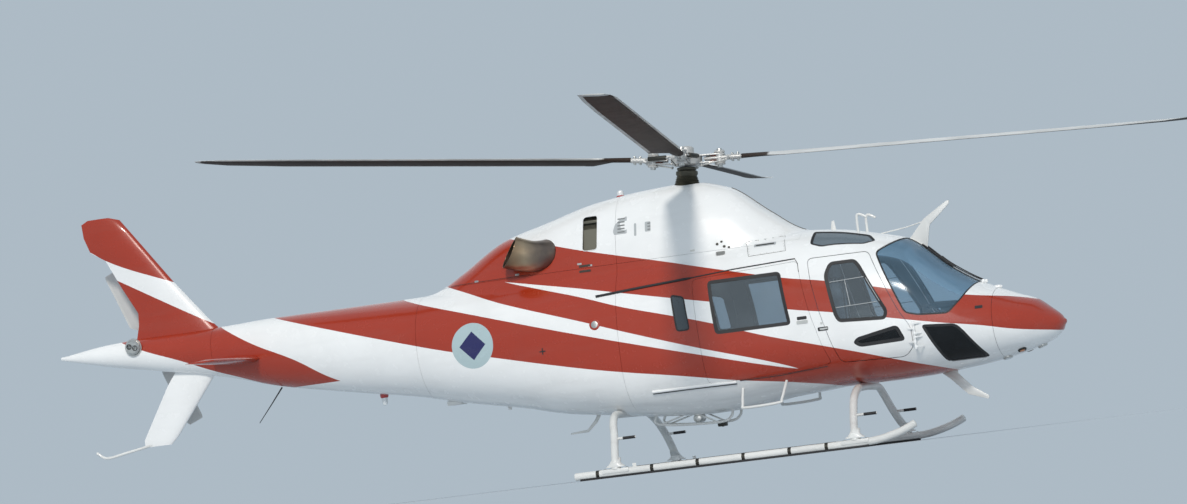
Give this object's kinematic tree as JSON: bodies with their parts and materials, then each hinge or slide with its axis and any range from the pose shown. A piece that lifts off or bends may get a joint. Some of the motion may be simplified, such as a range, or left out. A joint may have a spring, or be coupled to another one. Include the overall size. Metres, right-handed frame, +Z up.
{
  "type": "light single-turbine helicopter on skids",
  "caption": "Light turbine helicopter on skid landing gear, with turning main and tail rotors, a glazed cabin with seats, and cockpit doors that open on their hinges.",
  "frame": {"origin": "on the ground under the middle of the whole helicopter, rotors included", "axes": "+X towards the nose, +Y towards the left side, +Z up"},
  "size_m": [12.8728, 10.7757, 3.9628],
  "materials": {
    "white_paint": "glossy white paint",
    "red_paint": "glossy brick red paint with white bands",
    "clear_pane": "lightly tinted acrylic pane",
    "cabin_trim": "dark matt trim",
    "seat_cloth": "grey woven seat cloth",
    "bare_metal": "machined light alloy",
    "dark_metal": "dark olive paint",
    "hot_metal": "heat-tinted bronze steel",
    "blade_skin": "dark composite blade skin",
    "tail_blade_skin": "light composite blade skin",
    "gear_paint": "white paint on tube"
  },
  "bodies": {
    "airframe": {"nose_cone": "white_paint", "cabin_shell": "white_paint", "gearbox_cowling": "white_paint", "engine_cowling": "white_paint", "rear_fuselage": "red_paint", "tail_boom": "white_paint", "tail_cone": "white_paint", "upper_fin": "red_paint", "lower_fin": "white_paint", "tail_skid": "white_paint", "stabiliser_right": "red_paint", "stabiliser_left": "red_paint", "windscreen_right": "clear_pane", "windscreen_left": "clear_pane", "chin_window_right": "clear_pane", "chin_window_left": "clear_pane", "rear_window_right": "clear_pane", "rear_window_left": "clear_pane", "roof_window_right": "clear_pane", "roof_window_left": "clear_pane", "cabin_door_right": "white_paint", "cabin_door_window_right": "clear_pane", "cabin_door_left": "white_paint", "cabin_door_window_left": "clear_pane", "cabin_floor": "cabin_trim", "pilot_seat": "seat_cloth", "copilot_seat": "seat_cloth", "middle_seats": "seat_cloth", "rear_seats": "seat_cloth", "instrument_panel": "cabin_trim", "engine": "bare_metal", "main_gearbox": "bare_metal", "mast_housing": "dark_metal", "exhaust_right": "hot_metal", "exhaust_left": "hot_metal", "tail_rotor_gearbox": "bare_metal", "front_cross_tube": "gear_paint", "rear_cross_tube": "gear_paint", "skid_right": "gear_paint", "skid_left": "gear_paint", "boarding_step_right": "gear_paint", "boarding_step_left": "gear_paint", "upper_wire_cutter": "gear_paint", "lower_wire_cutter": "gear_paint", "cargo_hook_frame": "gear_paint"},
    "main_rotor": {"mast": "bare_metal", "rotor_head": "bare_metal", "rotor_blade_1": "blade_skin", "rotor_blade_2": "blade_skin", "rotor_blade_3": "blade_skin", "rotor_blade_4": "blade_skin"},
    "tail_rotor": {"tail_rotor_hub": "bare_metal", "tail_rotor_blade_1": "tail_blade_skin", "tail_rotor_blade_2": "tail_blade_skin"},
    "right_cockpit_door": {"cockpit_door_right": "white_paint", "cockpit_door_window_right": "clear_pane", "cockpit_door_lower_window_right": "clear_pane"},
    "left_cockpit_door": {"cockpit_door_left": "white_paint", "cockpit_door_window_left": "clear_pane", "cockpit_door_lower_window_left": "clear_pane"}
  },
  "joints": [
    {"name": "main_rotor_spin", "type": "hinge", "parent": "airframe", "child": "main_rotor", "pos_m": [1.048, 0, 3.27], "axis": [0.0819, 0.0436, 0.9957], "continuous": true},
    {"name": "tail_rotor_spin", "type": "hinge", "parent": "airframe", "child": "tail_rotor", "pos_m": [-5.492, 0.42, 2.065], "axis": [0, 1, 0], "continuous": true},
    {"name": "right_door_hinge", "type": "hinge", "parent": "airframe", "child": "right_cockpit_door", "pos_m": [3.488, -0.8, 1.09], "axis": [0, 0, 1], "range_deg": [0, 75]},
    {"name": "left_door_hinge", "type": "hinge", "parent": "airframe", "child": "left_cockpit_door", "pos_m": [3.488, 0.8, 1.09], "axis": [0, 0, -1], "range_deg": [0, 75]}
  ]
}
